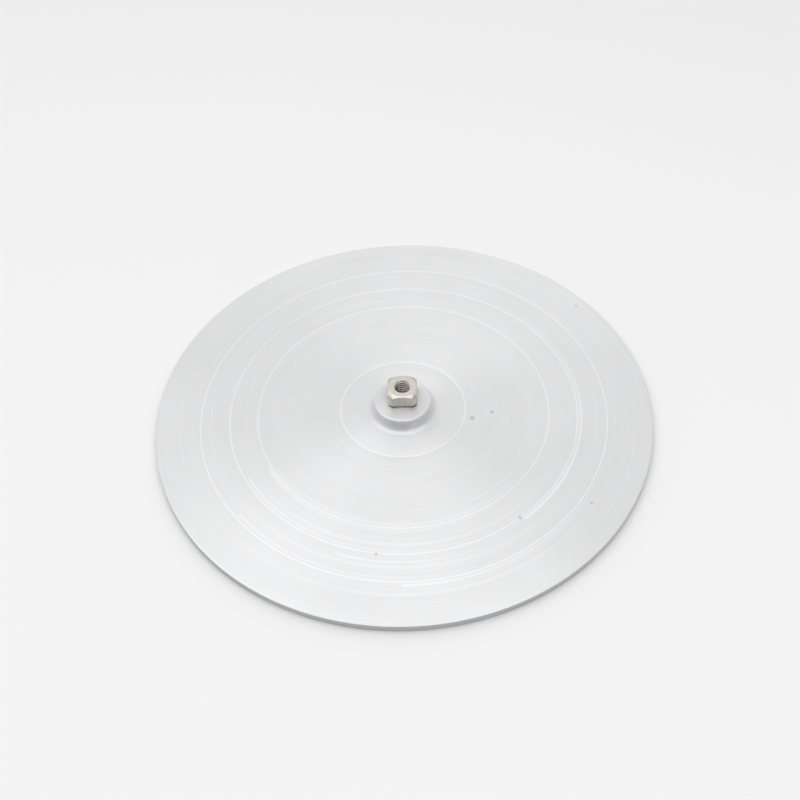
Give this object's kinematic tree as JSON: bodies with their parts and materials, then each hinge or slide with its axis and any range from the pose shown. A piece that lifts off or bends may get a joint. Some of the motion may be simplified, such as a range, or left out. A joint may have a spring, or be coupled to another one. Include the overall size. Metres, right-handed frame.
{
  "type": "knife cover plate",
  "caption": "Flat turned round cover plate with a low centre boss and a square-headed threaded bush for a tie rod.",
  "frame": {"origin": "middle of the disc's outer face, the flat side that the plate lies on", "axes": "+Z along the disc's axis, from the outer face towards the bush's open end; +Y from the disc's axis towards the bush's axis, which stands 1.5 mm off it"},
  "size_m": [0.17, 0.17, 0.0119],
  "materials": {
    "turned_aluminium": "fine turned rings, satin",
    "nickel_plate": "nickel plated over fine turning marks"
  },
  "bodies": {
    "root": {"cover_disc": "turned_aluminium", "threaded_bush": "nickel_plate"}
  },
  "joints": []
}
